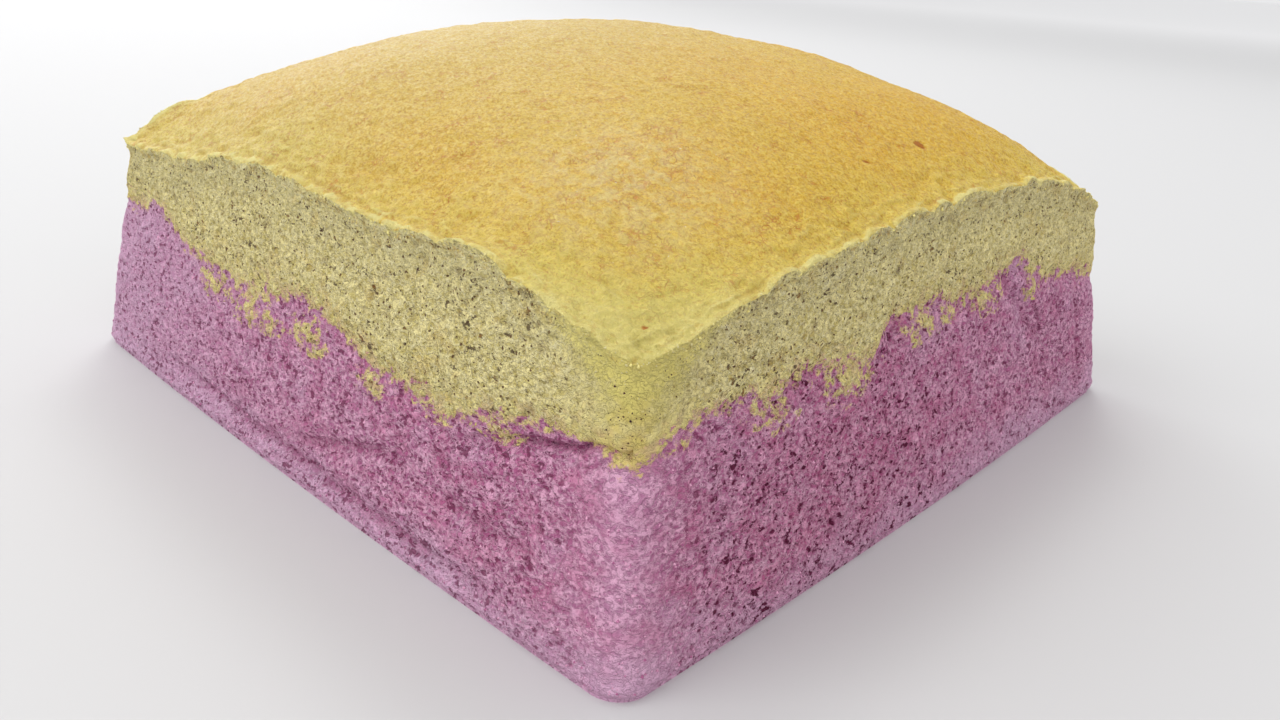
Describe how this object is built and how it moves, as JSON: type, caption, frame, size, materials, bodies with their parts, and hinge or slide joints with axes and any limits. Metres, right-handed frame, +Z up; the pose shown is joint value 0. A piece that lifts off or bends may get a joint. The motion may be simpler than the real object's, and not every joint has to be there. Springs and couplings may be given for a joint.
{
  "type": "castella sponge cake",
  "caption": "Square domed sponge cake with a purple lower layer, a pale yellow upper layer and a golden baked crust.",
  "frame": {"origin": "middle of the underside, on the surface that the cake rests on", "axes": "+Z up; the four walls face -Y (front), +X (right), +Y (back) and -X (left)"},
  "size_m": [0.2021, 0.202, 0.0916],
  "materials": {
    "purple_crumb": "matte, porous",
    "yellow_crumb": "matte, porous",
    "golden_crust": "satin, finely pitted",
    "dark_fleck": "matte"
  },
  "bodies": {
    "root": {"lower_sponge": "purple_crumb", "upper_sponge": "yellow_crumb"}
  },
  "joints": []
}
